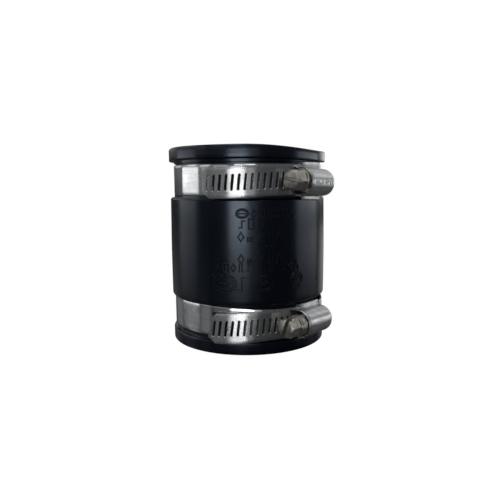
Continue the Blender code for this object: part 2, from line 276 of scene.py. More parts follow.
def build_sleeve(finish):
    low, high = (corner.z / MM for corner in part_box("sleeve"))
    corners = [
        (BORE_RADIUS, high, 0.8),
        (UPPER_LIP_RADIUS, high, 0.8),
        (UPPER_LIP_RADIUS, high - LIP_HEIGHT, 0.5),
        (UPPER_SEAT_RADIUS, high - LIP_HEIGHT, 0.3),
        (UPPER_SEAT_RADIUS, UPPER_GROOVE[1] + 0.3, 0.1),
        (UPPER_GROOVE_RADIUS, UPPER_GROOVE[1], 0),
        (UPPER_GROOVE_RADIUS, UPPER_GROOVE[0], 0),
        (UPPER_SEAT_RADIUS, UPPER_GROOVE[0] - 0.3, 0.1),
        (UPPER_SEAT_RADIUS, BODY_TOP, 0.2),
        (BODY_TOP_RADIUS, BODY_TOP, 1.1),
        (BODY_BOTTOM_RADIUS, BODY_BOTTOM, 0.9),
        (SEAT_RADIUS, BODY_BOTTOM, 0.2),
        (SEAT_RADIUS, low + LIP_HEIGHT, 0.3),
        (LOWER_LIP_RADIUS, low + LIP_HEIGHT, 0.6),
        (LOWER_LIP_RADIUS, low, 0.7),
        (BORE_RADIUS, low, 0.8),
    ]
    outline = divided(filleted(corners), SLEEVE_RUN)
    axis = JOINTS["upper_clamp_turn"]["pos_m"]
    centre = Vector((axis[0] / MM, axis[1] / MM, 0))
    bm = bmesh.new()
    rows = []
    for step in range(SLEEVE_STEPS):
        angle = TURN * step / SLEEVE_STEPS
        signed = angle - TURN if angle > math.pi else angle
        row = []
        for radius, height in outline:
            if radius > SEAT_RADIUS + 1.7 and BODY_BOTTOM + 1 < height < BODY_TOP - 0.7:
                radius = body_radius(height)
            height = sagged(height, signed)
            ripple = noise.noise(Vector((
                RIPPLE_TURNS * math.sin(angle), RIPPLE_TURNS * math.cos(angle), height / RIPPLE_LENGTH)))
            radius += RIPPLE_HEIGHT * ripple if radius > BORE_RADIUS + 1 else 0
            place = Vector((radius * math.sin(angle), -radius * math.cos(angle), height))
            row.append(bm.verts.new(centre + place))
        rows.append(row)
    stitched(bm, rows, closed_rows=True)
    sleeve = add_object("sleeve_moulding", mesh_of(bm, "sleeve_moulding"), finish)
    finish_piece(sleeve, "sleeve", "moulded_rubber", "sleeve")


# Moulded marks in the places of the real sleeve's raised lettering: plain figures of no meaning, each a
# list of strokes inside a square of side 1, and rows of them as (height, first arc, figure size, figures).
MARK_HEIGHT = 0.5
MARK_FOOT = 0.12
MARK_STROKE = 0.56
MARK_ADVANCE = 0.98
MARK_NARROWING = 0.62
STROKE_STEP = 1.2
STROKE_SECTION = (
    (-1.25, -MARK_FOOT), (-1, 0.6 * MARK_HEIGHT), (-0.55, MARK_HEIGHT),
    (0.55, MARK_HEIGHT), (1, 0.6 * MARK_HEIGHT), (1.25, -MARK_FOOT),
)


def ring(width, height, steps=20):
    """An upright oval stroke."""
    return [
        (0.5 + width / 2 * math.sin(TURN * i / steps), 0.5 + height / 2 * math.cos(TURN * i / steps))
        for i in range(steps + 1)
    ]


FIGURES = {
    "box": [[(0.05, 0), (0.95, 0), (0.95, 1), (0.05, 1), (0.05, 0)]],
    "diamond": [[(0.5, 0), (1, 0.5), (0.5, 1), (0, 0.5), (0.5, 0)]],
    "bars": [[(0.2, 0), (0.2, 1)], [(0.8, 0), (0.8, 1)]],
    "slant": [[(0.1, 0), (0.9, 1)]],
    "steps": [[(0, 0.15), (0.5, 0.15), (0.5, 0.85), (1, 0.85)]],
    "peak": [[(0, 0), (0.5, 1), (1, 0)]],
    "dash": [[(0.1, 0.5), (0.9, 0.5)]],
    "ticks": [[(0.1, 0), (0.1, 0.45)], [(0.5, 0), (0.5, 0.45)], [(0.9, 0), (0.9, 0.45)]],
    "oval": [ring(2.2, 1.0), ring(1.75, 0.66), [(-0.1, 0.5), (1.1, 0.5)]],
    "disc": [ring(1.6, 1.0, 32), ring(1.2, 0.74, 28), [(0.2, 0.4), (0.8, 0.6)], [(0.2, 0.55), (0.6, 0.68)]],
    "gap": [],
}

MARK_ROWS = (
    (60.6, -3.4, 3.9, ("oval",)),
    (60.4, 1.8, 3.3, ("diamond", "box", "bars", "steps", "box", "peak")),
    (56.2, -3.6, 4.0, ("steps", "box", "bars")),
    (50.9, -4.0, 3.8, ("diamond", "ticks")),
    (50.9, 4.6, 3.8, ("slant", "bars", "peak")),
    (47.0, 4.2, 2.8, ("bars", "dash", "diamond")),
    (41.6, -4.0, 3.8, ("diamond", "ticks")),
    (41.6, 4.6, 3.8, ("slant", "bars", "peak")),
    (38.0, -13.4, 3.2, ("peak", "box", "diamond", "bars", "steps", "gap", "bars", "box", "gap",
                        "steps", "diamond", "peak")),
    (35.2, -15.2, 2.0, ("ticks", "dash", "ticks")),
    (31.2, -12.2, 7.4, ("oval", "steps")),
    (31.2, 5.0, 6.8, ("disc",)),
    (31.8, 20.2, 6.8, ("disc",)),
)


def stroke_faces(bm, points, place):
    """One raised stroke along points (arc, height), with sloping sides, sunk at its foot."""
    half = MARK_STROKE / 2
    closed = (Vector(points[0]) - Vector(points[-1])).length < 1e-6
    path = [Vector(p) for p in (points[:-1] if closed else points)]
    rows = []
    for i, here in enumerate(path):
        before = path[i - 1] if closed or i else here
        after = path[(i + 1) % len(path)] if closed or i + 1 < len(path) else here
        into, out = (here - before), (after - here)
        into = into.normalized() if into.length else out.normalized()
        out = out.normalized() if out.length else into
        along = (into + out).normalized()
        reach = 1 / max(math.sqrt((1 + into.dot(out)) / 2), 0.5)
        side = Vector((-along.y, along.x)) * half * reach
        ends = 0 if closed else half * (-1 if i == 0 else 1 if i == len(path) - 1 else 0)
        here = here + along * ends
        rows.append([bm.verts.new(place(here + side * share, rise)) for share, rise in STROKE_SECTION])
    stitched(bm, rows, closed_rows=closed)
    if not closed:
        bm.faces.new(rows[0])
        bm.faces.new(rows[-1])


def densified(points):
    """The stroke with its long runs divided, so that it follows the curve it lies on."""
    path = [Vector(p) for p in points]
    dense = [path[0]]
    for here, after in zip(path, path[1:]):
        count = max(1, math.ceil((after - here).length / STROKE_STEP))
        dense += [here.lerp(after, step / count) for step in range(1, count + 1)]
    return dense


def build_sleeve_marks(finish):
    axis = JOINTS["upper_clamp_turn"]["pos_m"]

    def on_body(point, rise):
        angle = point.x / BODY_MIDDLE_RADIUS
        radius = body_radius(point.y) + rise
        return (
            axis[0] / MM + radius * math.sin(angle),
            axis[1] / MM - radius * math.cos(angle),
            point.y,
        )

    bm = bmesh.new()
    for middle, start, size, figures in MARK_ROWS:
        for place, figure in enumerate(figures):
            for stroke in FIGURES[figure]:
                left = start + place * size * MARK_ADVANCE
                path = [(left + x * size * MARK_NARROWING, middle + (y - 0.5) * size) for x, y in stroke]
                stroke_faces(bm, densified(path), on_body)
    marks = add_object("sleeve_marks", mesh_of(bm, "sleeve_marks"), finish)
    finish_piece(marks, "sleeve", "moulded_rubber")


def clamp_frame(side):
    """Where a clamp's own frame stands in the whole object's, in metres."""
    centre = Vector(JOINTS[side + "_clamp_turn"]["pos_m"])
    axis = JOINTS[side + "_screw_turn"]["axis"]
    return Matrix.Translation(centre) @ Matrix.Rotation(math.atan2(axis[1], axis[0]), 4, "Z")


def band_keys(lie):
    """How the strip's inner face and its height change along it, from its inner end to its tail's tip."""
    degrees = math.radians
    tip = -TURN + SLOT_PHASE - lie["tail_slots"] * SLOT_PITCH
    radius = [
        (degrees(-34), UNDER_END_INNER_RADIUS),
        (degrees(-54), lie["loop_radius"]),
        (degrees(LOOP_END), lie["loop_radius"]),
        (degrees(LOOP_END - 28), TAIL_INNER_RADIUS),
        (-TURN - degrees(22), TAIL_INNER_RADIUS),
        (-TURN - degrees(60), TAIL_INNER_RADIUS + lie["tip_lift"]),
    ]
    height = [
        (degrees(-14), UNDER_END_RISE),
        (degrees(-85), lie["loop_rise"]),
        (degrees(-270), lie["loop_rise"]),
        (degrees(-338), TAIL_RISE),
        (-TURN - degrees(lie["drop_from"]), TAIL_RISE),
        (tip, TAIL_RISE - lie["tail_drop"]),
    ]
    return tip, radius, height


class Sheet:
    """A mesh built face by face from coordinates, in which equal corners are one vertex."""

    def __init__(self):
        self.bm = bmesh.new()
        self.known = {}

    def vert(self, *place):
        key = tuple(round(value, 4) for value in place)
        if key not in self.known:
            self.known[key] = self.bm.verts.new(place)
        return self.known[key]

    def quad(self, *places):
        self.bm.faces.new([self.vert(*place) for place in places])


# How many steps a slot's round end and its straight side take, and the flat that surrounds it.
ARC = 6
SIDE = 5
FRAME_HALF = SLOT_LENGTH / 2 + 0.6
FLAT_HALF = BAND_WIDTH / 2 - EDGE_ROUND
SIDE_LEVELS = [FRAME_HALF - 2 * FRAME_HALF * step / SIDE for step in range(SIDE + 1)]


def slot_outline(centre, growth):
    """The slot's round-ended outline from its top left, leaning with the thread."""
    half = SLOT_LENGTH / 2 - SLOT_WIDTH / 2
    radius = SLOT_WIDTH / 2 + growth
    flat = []
    for end in (1, -1):
        for step in range(ARC + 1):
            angle = math.pi * step / ARC
            flat.append(Vector((-end * radius * math.cos(angle), end * (half + radius * math.sin(angle)))))
        flat += [Vector((end * radius, end * half * (1 - 2 * step / SIDE))) for step in range(1, SIDE)]
    lean = Matrix.Rotation(-THREAD_LEAN, 2)
    return [lean @ point + Vector((centre, 0)) for point in flat]


def frame_outline(centre):
    """The rectangle round the slot, with a point for each of the slot outline's."""
    points = []
    for end in (1, -1):
        for step in range(ARC + 1):
            points.append(Vector((centre + end * CELL * (step / ARC - 0.5), end * FRAME_HALF)))
        points += [Vector((centre + end * CELL / 2, end * level)) for level in SIDE_LEVELS[1:-1]]
    return points


def flat_strip(tip, slotted, cells):
    """The flat strip with its slots, one cell of it at a time; its first slot is centred on the tip."""
    sheet = Sheet()
    half = BAND_WIDTH / 2
    edge = [
        (FLAT_HALF, 0), (half - EDGE_CORNER, EDGE_CORNER), (half, EDGE_ROUND),
        (half, BAND_THICKNESS - EDGE_ROUND), (half - EDGE_CORNER, BAND_THICKNESS - EDGE_CORNER),
        (FLAT_HALF, BAND_THICKNESS),
    ]
    levels = [FLAT_HALF, (FLAT_HALF + FRAME_HALF) / 2] + SIDE_LEVELS
    levels += [-(FLAT_HALF + FRAME_HALF) / 2, -FLAT_HALF]
    for cell in range(cells):
        centre = tip * MESH_RADIUS + cell * CELL
        has_slot = cell < slotted
        columns = ARC if has_slot else 2
        places = [centre + CELL * (step / columns - 0.5) for step in range(columns + 1)]
        for left, right in zip(places, places[1:]):
            for side in (1, -1):
                for (y, out), (next_y, next_out) in zip(edge, edge[1:]):
                    sheet.quad(
                        (left, side * y, out), (right, side * y, out),
                        (right, side * next_y, next_out), (left, side * next_y, next_out),
                    )
            for out in (0, BAND_THICKNESS):
                for high, low in zip(levels, levels[1:]):
                    if has_slot and abs(high + low) / 2 < FRAME_HALF:
                        continue
                    sheet.quad((left, high, out), (right, high, out), (right, low, out), (left, low, out))
        if not has_slot:
            continue
        around = frame_outline(centre)
        mouth = slot_outline(centre, SLOT_CHAMFER)
        wall = slot_outline(centre, 0)
        rings = [
            [(*p, BAND_THICKNESS) for p in around],
            [(*p, BAND_THICKNESS) for p in mouth],
            [(*p, BAND_THICKNESS - SLOT_CHAMFER) for p in wall],
            [(*p, SLOT_FOOT) for p in wall],
            [(*p, 0) for p in slot_outline(centre, SLOT_FOOT)],
            [(*p, 0) for p in around],
        ]
        for outer, inner in zip(rings, rings[1:]):
            for i, place in enumerate(outer):
                j = (i + 1) % len(outer)
                sheet.quad(place, outer[j], inner[j], inner[i])
    for end, cell in ((-0.5, 0), (0.5, cells - 1)):
        x = tip * MESH_RADIUS + (cell + end) * CELL
        loop = edge + [(y, BAND_THICKNESS) for y in levels[1:-1]]
        loop += [(-y, out) for y, out in edge[::-1]] + [(y, 0) for y in levels[-2:0:-1]]
        sheet.bm.faces.new([sheet.vert(x, y, out) for y, out in loop])
    return sheet.bm


def tail_cutters(tip, sides):
    """A block past the strip's tip, and a slanting block over each clipped corner."""
    blocks = [
        Matrix.Translation((tip * MESH_RADIUS - 5, 0, 0)) @ Matrix.Diagonal((10, 20, 6, 1)),
    ]
    for side in sides:
        blocks.append(
            Matrix.Translation((tip * MESH_RADIUS, side * BAND_WIDTH / 2, 0))
            @ Matrix.Rotation(side * TIP_CORNER_ANGLE, 4, "Z")
            @ Matrix.Diagonal((12, 4.4, 5, 1))
        )
    for index, block in enumerate(blocks):
        bm = bmesh.new()
        bmesh.ops.create_cube(bm, size=1, matrix=block)
        yield add_object(f"tail_cutter_{index}", mesh_of(bm, "tail_cutter"))


def build_band(side, lie, *steels):
    """The strip, bent to its coil, in the steels of its slotted part and its plain loop, and a near-black
    steel on its hidden end that paints the shade seen through the tail's slots.
    """
    tip, radius_keys, height_keys = band_keys(lie)
    slotted = lie["tail_slots"] + SLOTS_BEHIND_HOUSING + 1
    cells = math.ceil((UNDER_END_ANGLE - tip) / SLOT_PITCH)
    name = side + "_strip"
    bm = flat_strip(tip, slotted, cells)
    band = add_object(name, mesh_of(bm, name), *steels)
    for cutter in tail_cutters(tip, lie["tip_corners"]):
        cut(band, cutter)
    plain_from = (tip * MESH_RADIUS + (slotted - 0.5) * CELL) * MM
    hidden_from = HIDDEN_ANGLE * MESH_RADIUS * MM
    # The hidden end under the tail takes the near-black steel: painted shade for the dark seen through the
    # tail's slots.
    for face in band.data.polygons:
        in_painted_shade = face.center.x > hidden_from and face.center.y < FRAME_HALF * HIDDEN_FRAME_SHARE * MM
        face.material_index = 2 if in_painted_shade else int(face.center.x > plain_from)
    for vert in band.data.vertices:
        along, across, out = vert.co / MM
        angle = along / MESH_RADIUS
        flare = lie["flare"] * smooth(*FLARE_SPAN, -TURN - angle) * (0.5 - across / BAND_WIDTH)
        radius = eased(radius_keys, angle) + out + flare
        height = eased(height_keys, angle) + across
        vert.co = Vector((radius * math.sin(angle), -radius * math.cos(angle), height)) * MM
    return band


# The housing, pressed from sheet.
SHEET = 0.5
HUMP_HALF_LENGTH = 8.85
FOOT_START = -5.1
FOOT_END = 7.75
FOOT_HALF_WIDTH = 7.15
FLANGE_RADIUS = 37.2
FLANGE_HALF_WIDTH = 7.7
HUMP_HALF_WIDTH = 5.75
HUMP_TOP_RADIUS = 44.4
HUMP_FREE_RADIUS = 39.2
HUMP_EDGE_RADIUS = 36.8
WEB_RADIUS = 36.25
FOOT_FOLD_END = 5.3
FOOT_RADIUS = 34.25
CROWN_ROUND = 0.97
RIM_ROUND = 0.09
NEARLY = 1e-6
# How far the rim stands out along the hump, from its back end to the screw head's.
RIM_KEYS = (
    (HUMP_HALF_LENGTH, -1.3), (8.5, -0.95), (7.9, -0.45), (7.2, -0.12), (6.4, 0.0), (-6.2, 0.0),
    (-6.6, -0.02), (-7.0, 0.1), (-7.35, 0.12), (-7.65, -0.04), (-7.95, 0.16), (-8.3, 0.28), (-8.6, 0.24),
    (-HUMP_HALF_LENGTH, 0.08),
)


def housing_outline(growth, whole):
    """The section, both halves, with flanges and feet where whole, and how many points a half's hump has."""
    half, top = HUMP_HALF_WIDTH + growth, HUMP_TOP_RADIUS + growth
    foot = [
        (FOOT_FOLD_END, FOOT_RADIUS, 0),
        (FOOT_HALF_WIDTH, FOOT_RADIUS, 0.7),
        (FOOT_HALF_WIDTH, WEB_RADIUS, 0),
        (FLANGE_HALF_WIDTH, WEB_RADIUS + 0.1, 0),
        (FLANGE_HALF_WIDTH, FLANGE_RADIUS, 0.6),
    ]
    hump = [
        (half, FLANGE_RADIUS, 0.35),
        (half, top, CROWN_ROUND * half),
        (0, top, 0),
    ]
    side = filleted(foot + hump, fine=4, wide=14)
    root = next(i for i, (z, rho) in enumerate(side) if rho > FLANGE_RADIUS + 0.3)
    if not whole:
        side = [Vector((half, HUMP_EDGE_RADIUS))] + side[root:]
    return [Vector((-z, rho)) for z, rho in side[:-1]] + side[::-1], len(side[root:]) - 1


def rim_growth(along):
    for (after, high), (before, low) in zip(RIM_KEYS, RIM_KEYS[1:]):
        if along >= before:
            share = (along - before) / (after - before)
            return low + (high - low) * share
    return RIM_KEYS[-1][1]


def housing_place(along, height, rho, sag):
    """The hump is straight and sags with its flanges; flanges and feet are bent to the band they hold."""
    drop = (sag[0] + sag[1] * along) * smooth(WEB_RADIUS - 0.05, WEB_RADIUS + 0.05, rho)
    if height > 0 and rho < FLANGE_RADIUS + 0.05:
        drop = min(drop, max(height - FOOT_HALF_WIDTH, 0))
    bent = min(max((HUMP_FREE_RADIUS - rho) / (HUMP_FREE_RADIUS - FLANGE_RADIUS), 0), 1)
    rho -= (rho - math.sqrt(rho**2 - along**2)) * bent
    return along, -rho, height - drop


def build_housing(side, sag, steel):
    inner = sorted({place for place, _ in RIM_KEYS} | {FOOT_START, FOOT_END, -2.5, 0, 2.5, 5})
    _, kept = housing_outline(0, True)
    bm = bmesh.new()
    rows = []
    for along in inner:
        whole, _ = housing_outline(rim_growth(along), True)
        nose, _ = housing_outline(rim_growth(along), False)
        row = {}
        middle = len(whole) // 2
        for index, (height, rho) in enumerate(whole):
            if abs(index - middle) <= kept or FOOT_START - NEARLY <= along <= FOOT_END + NEARLY:
                row[index - middle] = bm.verts.new(housing_place(along, height, rho, sag))
        if along < FOOT_START + NEARLY or along > FOOT_END - NEARLY:
            for end, (height, rho) in ((-1, nose[0]), (1, nose[-1])):
                row[("edge", end)] = bm.verts.new(housing_place(along, height, rho, sag))
        rows.append((along, row))
    for (along, row), (after, following) in zip(rows, rows[1:]):
        keys = sorted(key for key in row if isinstance(key, int) and key in following)
        for low, high in zip(keys, keys[1:]):
            bm.faces.new((row[low], following[low], following[high], row[high]))
        for end in (-1, 1):
            if ("edge", end) in row and ("edge", end) in following:
                if not (FOOT_START < (along + after) / 2 < FOOT_END):
                    edge = ("edge", end)
                    bm.faces.new((row[edge], following[edge], following[end * kept], row[end * kept]))
    name = side + "_hump"
    bmesh.ops.delete(bm, geom=[v for v in bm.verts if not v.link_faces], context="VERTS")
    housing = add_object(name, mesh_of(bm, name), steel)
    crown = max(housing.data.polygons, key=lambda face: -face.center.y)
    sheet = housing.modifiers.new("Sheet", "SOLIDIFY")
    sheet.thickness = SHEET * MM
    sheet.offset = -1 if crown.normal.y < 0 else 1
    sheet.use_even_offset = True
    round_off = housing.modifiers.new("Edges", "BEVEL")
    round_off.width = RIM_ROUND * MM
    round_off.segments = 2
    round_off.limit_method = "ANGLE"
    round_off.angle_limit = math.radians(50)
    round_off.miter_outer = "MITER_ARC"
    return worked_in(housing)


# The crown's stamp: each pair of bars from low to high, as shares of the bars' height.
CROWN_BARS = ((-1, 1), (-1, 1), (-1, 0.1), (-1, 1), (-0.2, 0.2), (-1, 1), (-0.1, 1), (-1, 1), (-1, 1))
CROWN_START = -5.6
CROWN_PITCH = 1.38
CROWN_TWIN = 0.5
CROWN_BAR_HALF = 0.17
CROWN_BAR_HEIGHT = 1.1
CROWN_DROP = 0.15
CROWN_SUNK = -0.05
CROWN_RAISED = 0.035
CROWN_STEPS = 6


def crown_marks(side, sag, finish):
    """A row of short bars of no meaning, pressed into the crown where the real housing is stamped."""
    bm = bmesh.new()
    centre_rho = HUMP_TOP_RADIUS - CROWN_ROUND * HUMP_HALF_WIDTH
    radius = CROWN_ROUND * HUMP_HALF_WIDTH
    section = ((-1, CROWN_SUNK), (-0.8, CROWN_RAISED), (0.8, CROWN_RAISED), (1, CROWN_SUNK))
    for index, (low, high) in enumerate(CROWN_BARS):
        for twin in (0, CROWN_TWIN):
            along = CROWN_START + index * CROWN_PITCH + twin
            rows = []
            for share, rise in section:
                row = []
                for step in range(CROWN_STEPS + 1):
                    across = CROWN_BAR_HEIGHT * (low + (high - low) * step / CROWN_STEPS) - CROWN_DROP
                    lift = rise if 0 < step < CROWN_STEPS else CROWN_SUNK
                    rho = centre_rho + math.sqrt(radius**2 - across**2) + lift
                    place = housing_place(along + CROWN_BAR_HALF * share, across, rho, sag)
                    row.append(bm.verts.new(place))
                rows.append(row)
            stitched(bm, rows, closed_rows=True, closed_rings=False)
            bm.faces.new([row[0] for row in rows])
            bm.faces.new([row[-1] for row in rows])
    name = side + "_crown_marks"
    return add_object(name, mesh_of(bm, name), finish)


# The worm screw.
SCREW_RADIUS_FROM_AXIS = 39.8
ROOT_RADIUS = 3.0
HEAD_LENGTH = 5.8
HEX_ACROSS_FLATS = 7.94
HEX_FLAT = HEX_ACROSS_FLATS / 2
HEX_CORNER = HEX_ACROSS_FLATS / math.sqrt(3)
HEAD_CHAMFER = 0.75
DRIVER_SLOT_HALF = 0.8
DRIVER_SLOT_DEPTH = 2.2
COLLAR_START = -9.2
SCREW_TIP = 7.8
SCREW_STEPS = 96
THREAD_SPAN = (-8.2, 6.4)
THREAD_ROWS = 146
THREAD_FADE_IN = (-7.4, -6.4)
THREAD_FADE_OUT = (5.2, 6.2)
THREAD_FLANK = (0.16, 0.52)

# Turned profiles, as (distance along, radius): the washer face behind the head, the long screw's
# two collars, the short screw's one, and the tip.
WASHER = ((0, 3.75), (0.32, 3.7), (0.38, 4.32), (0.46, 4.42), (0.95, 4.42), (1.05, 4.3),
          (1.1, 3.95), (1.3, 3.92))
LONG_COLLARS = ((1.36, 4.5), (1.44, 4.6), (2.9, 4.6), (3.0, 4.5), (3.06, 3.85), (3.4, 3.85),
                (3.46, 4.3), (3.54, 4.4))
SHORT_COLLAR = ((1.36, 4.45), (1.44, 4.52))
TIP = ((6.75, ROOT_RADIUS), (7.1, 2.3), (7.2, 2.2), (7.65, 2.2), (SCREW_TIP, 2.05), (SCREW_TIP, 0))


def hexagon(angle, corner):
    """The distance to a hexagon's side, with its corners rounded off at corner."""
    slice_angle = angle % (TURN / 6)
    slice_angle -= TURN / 6 if slice_angle > TURN / 12 else 0
    return min(HEX_FLAT / math.cos(slice_angle), corner)


def thread_height(along, angle):
    """The right-hand ridge's height over the root: it fades out at both ends."""
    meets_slot = MESH_RADIUS * math.sin(SLOT_PHASE)
    turns = (along - meets_slot) / CELL - angle / TURN
    off = abs(turns - round(turns)) * CELL
    fade = smooth(*THREAD_FADE_IN, along) * (1 - smooth(*THREAD_FADE_OUT, along))
    return (THREAD_RADIUS - ROOT_RADIUS) * fade * (1 - smooth(*THREAD_FLANK, off))


def screw_stations(head_end):
    """Places along the screw, each with a function from angle to radius."""
    seat = head_end + HEAD_LENGTH

    def plain(radius):
        return lambda angle: radius

    def head(corner):
        return lambda angle: hexagon(angle, corner)

    face = HEX_FLAT - HEAD_CHAMFER
    stations = [(head_end, plain(0)), (head_end, plain(face))]
    stations += [(head_end + rise, head(face + rise * 1.75)) for rise in (0.12, 0.35, 0.6, 0.78)]
    stations += [(head_end + rise, head(HEX_CORNER - 0.1)) for rise in (1.0, 2.4, 4.0)]
    stations += [(seat - 0.3, head(HEX_CORNER - 0.1)), (seat - 0.08, head(HEX_CORNER - 0.2)),
                 (seat, head(HEX_FLAT - 0.12))]
    collar = COLLAR_START - 0.1
    collars = LONG_COLLARS if collar - seat > 3 else SHORT_COLLAR
    stations += [(seat + behind, plain(radius)) for behind, radius in WASHER + collars]
    stations += [(collar - 0.1, plain(collars[-1][1])), (collar, plain(4.02)), (collar + 0.1, plain(3.4)),
                 (collar + 0.4, plain(ROOT_RADIUS))]
    start, end = THREAD_SPAN
    for step in range(THREAD_ROWS + 1):
        along = start + (end - start) * step / THREAD_ROWS
        stations.append((along, lambda angle, along=along: ROOT_RADIUS + thread_height(along, angle)))
    stations += [(along, plain(radius)) for along, radius in TIP]
    return stations


def build_screw(side, lie, plated):
    """The surface is a radius for each place along the screw and each angle; the driver slot is cut after."""
    head_end = lie["head_end"]
    bm = bmesh.new()
    rows = []
    stations = screw_stations(head_end)
    for along, radius_at in stations[1:-1]:
        row = []
        for step in range(SCREW_STEPS):
            angle = TURN * step / SCREW_STEPS
            radius = radius_at(angle)
            row.append(bm.verts.new((-radius * math.sin(angle), radius * math.cos(angle), along)))
        rows.append(row)
    stitched(bm, rows)
    bm.faces.new(rows[0])
    bm.faces.new(rows[-1])
    head_face = [face for face in bm.faces if set(face.verts) == set(rows[0])]
    bmesh.ops.inset_region(bm, faces=head_face, thickness=1.2, depth=0.12)
    turn = Matrix.Rotation(lie["head_turn"], 4, "Z")
    bmesh.ops.transform(bm, matrix=turn, verts=[v for v in bm.verts if v.co.z < COLLAR_START - 0.3])
    name = side + "_worm"
    screw = add_object(name, mesh_of(bm, name), plated)
    bm = bmesh.new()
    low, depth, half = head_end - 0.5, head_end + DRIVER_SLOT_DEPTH, DRIVER_SLOT_HALF
    flank = [(half + 0.7, low), (half + 0.14, head_end - 0.02), (half, head_end + 0.14), (half, depth - 0.15),
             (half - 0.15, depth)]
    section = [(-across, along) for across, along in flank] + flank[::-1]
    ends = [[bm.verts.new((x, y, z)) for y, z in section] for x in (-8, 8)]
    stitched(bm, ends)
    bm.faces.new(ends[0])
    bm.faces.new(ends[1])
    bmesh.ops.transform(bm, matrix=turn, verts=bm.verts)
    cut(screw, add_object("slot_cutter", mesh_of(bm, "slot_cutter")))
    lying = Matrix.Rotation(math.radians(90), 4, "Y")
    screw.data.transform(Matrix.Translation((0, -SCREW_RADIUS_FROM_AXIS * MM, 0)) @ lying)
    return screw


# How far a bump rises, in metres, and the range that noise mostly keeps to.
BUMP_DISTANCE = 0.0001
NOISE_LOW = 0.3
NOISE_HIGH = 0.7


def node_tree(name):
    made = bpy.data.materials.new(name)
    made.use_nodes = True
    tree = made.node_tree
    return made, tree, tree.nodes["Principled BSDF"]


def noise_node(tree, scale, detail, stretch=(1, 1, 1), roughness=0.55):
    """Noise in the piece's own coordinates, in which a unit is a metre."""
    place = tree.nodes.new("ShaderNodeTexCoord")
    mapping = tree.nodes.new("ShaderNodeMapping")
    mapping.inputs["Scale"].default_value = stretch
    made = tree.nodes.new("ShaderNodeTexNoise")
    made.inputs["Scale"].default_value = scale
    made.inputs["Detail"].default_value = detail
    made.inputs["Roughness"].default_value = roughness
    tree.links.new(place.outputs["Object"], mapping.inputs["Vector"])
    tree.links.new(mapping.outputs["Vector"], made.inputs["Vector"])
    return made


def ramp(tree, source, stops):
    made = tree.nodes.new("ShaderNodeValToRGB")
    for element, (place, colour) in zip(made.color_ramp.elements, (stops[0], stops[-1])):
        element.position = place
        element.color = (*colour, 1)
    for place, colour in stops[1:-1]:
        made.color_ramp.elements.new(place).color = (*colour, 1)
    tree.links.new(source, made.inputs["Fac"])
    return made


def spread(tree, source, low, high):
    """The noise stretched from the range it mostly keeps to onto low to high."""
    made = tree.nodes.new("ShaderNodeMapRange")
    made.inputs["From Min"].default_value = NOISE_LOW
    made.inputs["From Max"].default_value = NOISE_HIGH
    made.inputs["To Min"].default_value = low
    made.inputs["To Max"].default_value = high
    tree.links.new(source, made.inputs["Value"])
    return made


def bump(tree, source, strength, shader):
    made = tree.nodes.new("ShaderNodeBump")
    made.inputs["Strength"].default_value = strength
    made.inputs["Distance"].default_value = BUMP_DISTANCE
    tree.links.new(source, made.inputs["Height"])
    tree.links.new(made.outputs["Normal"], shader.inputs["Normal"])


def rubber(name, lowest, highest):
    made, tree, shader = node_tree(name)
    cloud = noise_node(tree, 90, 5)
    colour = ramp(tree, cloud.outputs["Fac"], [
        (0.3, (0.0004, 0.0012, 0.0052)), (0.7, (0.0012, 0.0026, 0.0084))])
    tree.links.new(colour.outputs["Color"], shader.inputs["Base Color"])
    shader.inputs["Specular IOR Level"].default_value = 0.62
    shader.inputs["Specular Tint"].default_value = (0.70, 0.83, 1, 1)
    gloss = spread(tree, noise_node(tree, 320, 3).outputs["Fac"], lowest, highest)
    tree.links.new(gloss.outputs["Result"], shader.inputs["Roughness"])
    bump(tree, noise_node(tree, 2600, 4).outputs["Fac"], 0.05, shader)
    return made


def steel(name, low, high, rough, grain=0.025):
    """Rolled strip, with streaks along it and highlights spread across it."""
    made, tree, shader = node_tree(name)
    shader.inputs["Metallic"].default_value = 1
    shader.inputs["Anisotropic"].default_value = 0.85
    shader.inputs["Anisotropic Rotation"].default_value = 0.25
    tangent = tree.nodes.new("ShaderNodeTangent")
    tangent.direction_type = "RADIAL"
    tangent.axis = "Z"
    tree.links.new(tangent.outputs["Tangent"], shader.inputs["Tangent"])
    streaks = noise_node(tree, 60, 6, (1, 1, 40))
    colour = ramp(tree, streaks.outputs["Fac"], [(0.3, low), (0.7, high)])
    tree.links.new(colour.outputs["Color"], shader.inputs["Base Color"])
    cloud = noise_node(tree, 160, 4)
    gloss = spread(tree, cloud.outputs["Fac"], rough - 0.04, rough + 0.05)
    tree.links.new(gloss.outputs["Result"], shader.inputs["Roughness"])
    bump(tree, noise_node(tree, 300, 5, (1, 1, 12)).outputs["Fac"], grain, shader)
    return made


def pressed_steel():
    """The housings' drawn sheet, mottled by the press."""
    made, tree, shader = node_tree("pressed_steel")
    shader.inputs["Metallic"].default_value = 1
    cloud = noise_node(tree, 420, 6, roughness=0.65)
    colour = ramp(tree, cloud.outputs["Fac"], [(0.32, (0.56, 0.57, 0.58)), (0.68, (0.76, 0.77, 0.77))])
    tree.links.new(colour.outputs["Color"], shader.inputs["Base Color"])
    gloss = spread(tree, noise_node(tree, 700, 4).outputs["Fac"], 0.3, 0.44)
    tree.links.new(gloss.outputs["Result"], shader.inputs["Roughness"])
    bump(tree, noise_node(tree, 1500, 5).outputs["Fac"], 0.12, shader)
    return made


